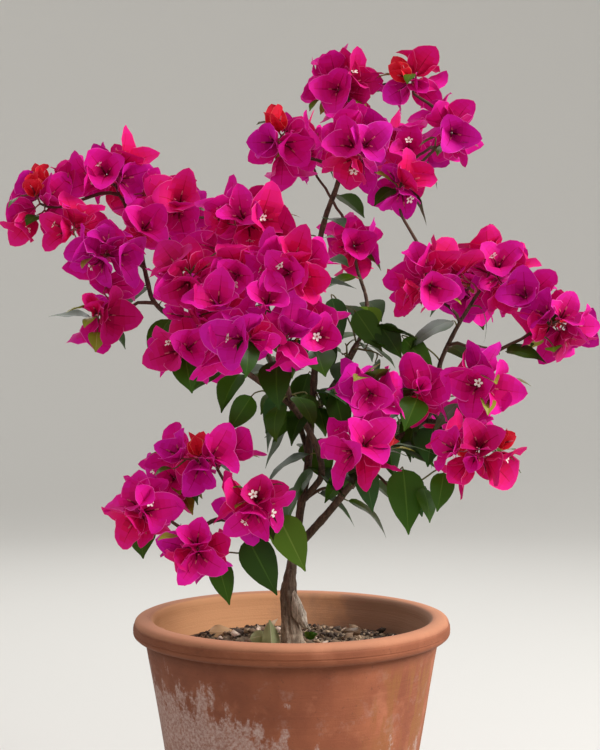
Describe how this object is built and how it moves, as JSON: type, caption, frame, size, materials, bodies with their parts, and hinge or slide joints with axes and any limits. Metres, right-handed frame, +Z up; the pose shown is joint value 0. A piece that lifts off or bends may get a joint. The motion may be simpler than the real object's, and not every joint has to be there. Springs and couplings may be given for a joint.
{
  "type": "potted bougainvillea bush",
  "caption": "Bougainvillea bush with magenta papery blossom on a short woody trunk, growing in a tapered terracotta pot with a rolled rim.",
  "frame": {"origin": "centre of the pot's flat underside", "axes": "+Z up along the pot's axis, -Y towards the front of the bush, +X to the right seen from the front"},
  "size_m": [0.591, 0.356, 0.857],
  "materials": {
    "terracotta": "unglazed, weathered, matt, with lime bloom low on the front",
    "compost": "crumbly, matt, with bark chips",
    "bark": "rough, matt, paler and peeling at the foot",
    "bracts": "papery, thin, softly veined",
    "leaves": "satin, folded along the midrib"
  },
  "bodies": {
    "root": {"bough_centre": "bark", "bough_left": "bark", "bough_left_outer": "bark", "bough_lower_left": "bark", "bough_outer_right": "bark", "bough_rear": "bark", "bough_rear_right": "bark", "bough_right": "bark", "bough_right_riser": "bark", "bough_side": "bark", "bough_upper_right": "bark", "centre_left": "bracts", "centre_low_left": "bracts", "centre_low_middle": "bracts", "centre_low_right": "bracts", "centre_right": "bracts", "centre_upper": "bracts", "compost": "compost", "leader": "bark", "leaves_fork": "leaves", "leaves_low": "leaves", "leaves_middle": "leaves", "leaves_right": "leaves", "left_far": "bracts", "left_inner": "bracts", "left_pendant": "bracts", "left_under": "bracts", "left_upper": "bracts", "low_right_inner_lower": "bracts", "low_right_inner_upper": "bracts", "low_right_middle": "bracts", "low_right_outer_lower": "bracts", "low_right_outer_upper": "bracts", "pot": "terracotta", "rear_centre": "bracts", "rear_left": "bracts", "rear_low": "bracts", "rear_low_right": "bracts", "rear_right": "bracts", "rear_top_left": "bracts", "rear_top_right": "bracts", "rear_wreath": "bracts", "right_inner": "bracts", "right_outer": "bracts", "right_under": "leaves", "right_upper": "bracts", "top_left": "bracts", "top_middle": "bracts", "top_peak": "bracts", "top_pendant": "bracts", "top_rear": "bracts", "top_right": "bracts", "top_spray": "bracts", "trunk": "bark", "wreath_bottom": "bracts", "wreath_left": "bracts", "wreath_right": "bracts", "wreath_top": "bracts"}
  },
  "joints": []
}
